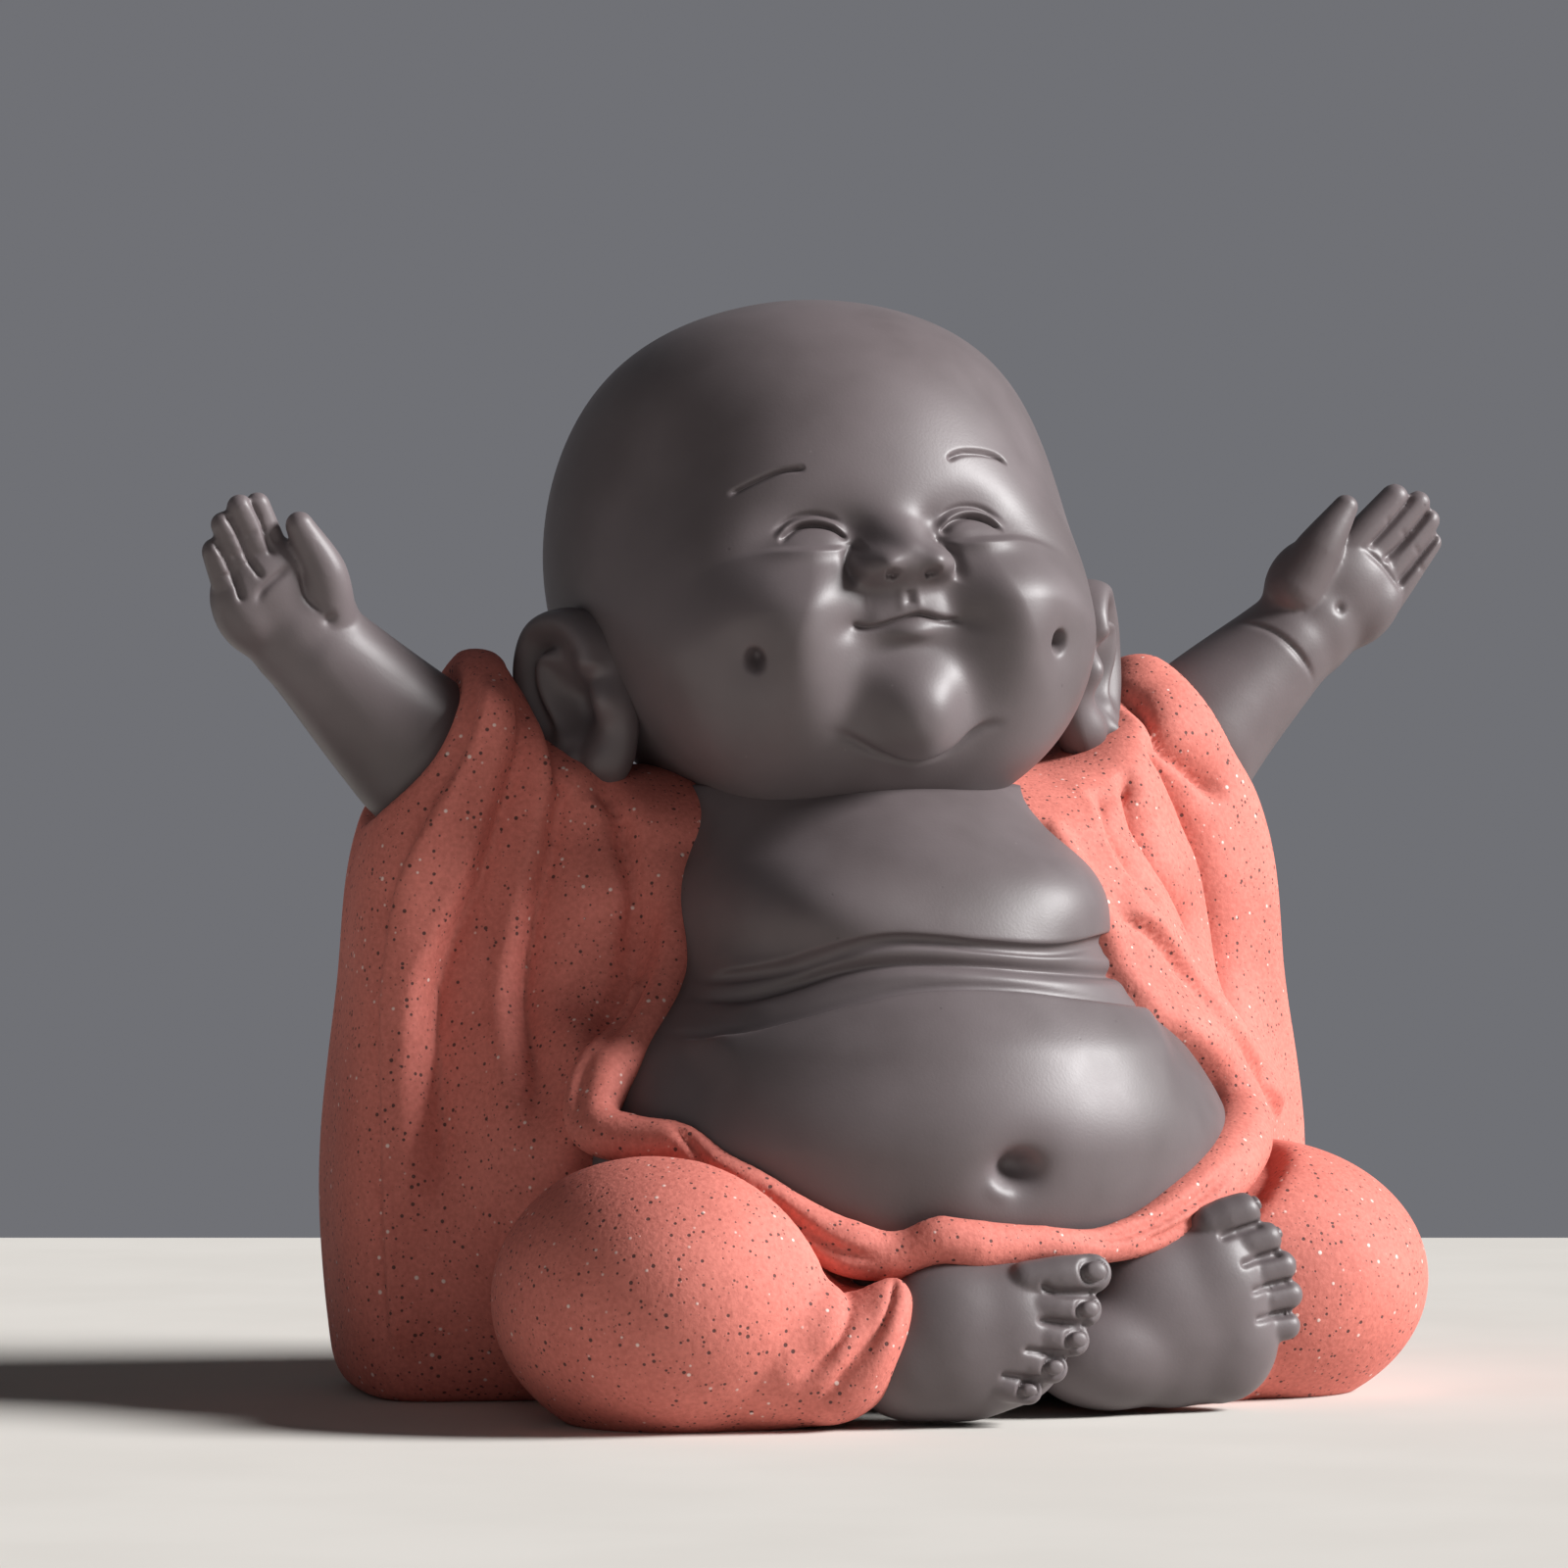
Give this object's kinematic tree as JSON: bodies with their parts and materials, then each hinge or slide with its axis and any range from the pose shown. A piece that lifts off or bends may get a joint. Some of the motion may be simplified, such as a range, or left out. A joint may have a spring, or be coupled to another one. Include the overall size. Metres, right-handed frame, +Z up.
{
  "type": "monk tea pet",
  "caption": "Small fired-clay figure of a smiling baby monk, seated cross-legged with raised arms, dark bare skin and an open coral robe; rests on a tea tray.",
  "frame": {"origin": "middle of the figure's bounding box, on the ground it rests on", "axes": "+X towards the figure's own left hand, +Y towards its back, +Z up"},
  "size_m": [0.1322, 0.0802, 0.1049],
  "materials": {
    "dark_clay": "fine unglazed clay, smooth and matt",
    "coral_clay": "coarse unglazed clay with dark and pale grains, matt"
  },
  "bodies": {
    "root": {"torso": "dark_clay", "base_slab": "dark_clay", "head": "dark_clay", "left_ear": "dark_clay", "right_ear": "dark_clay", "left_arm": "dark_clay", "right_arm": "dark_clay", "left_foot": "dark_clay", "right_foot": "dark_clay", "left_trouser_leg": "coral_clay", "right_trouser_leg": "coral_clay", "robe_edge": "coral_clay", "robe_back": "coral_clay", "left_sleeve": "coral_clay", "right_sleeve": "coral_clay"}
  },
  "joints": []
}
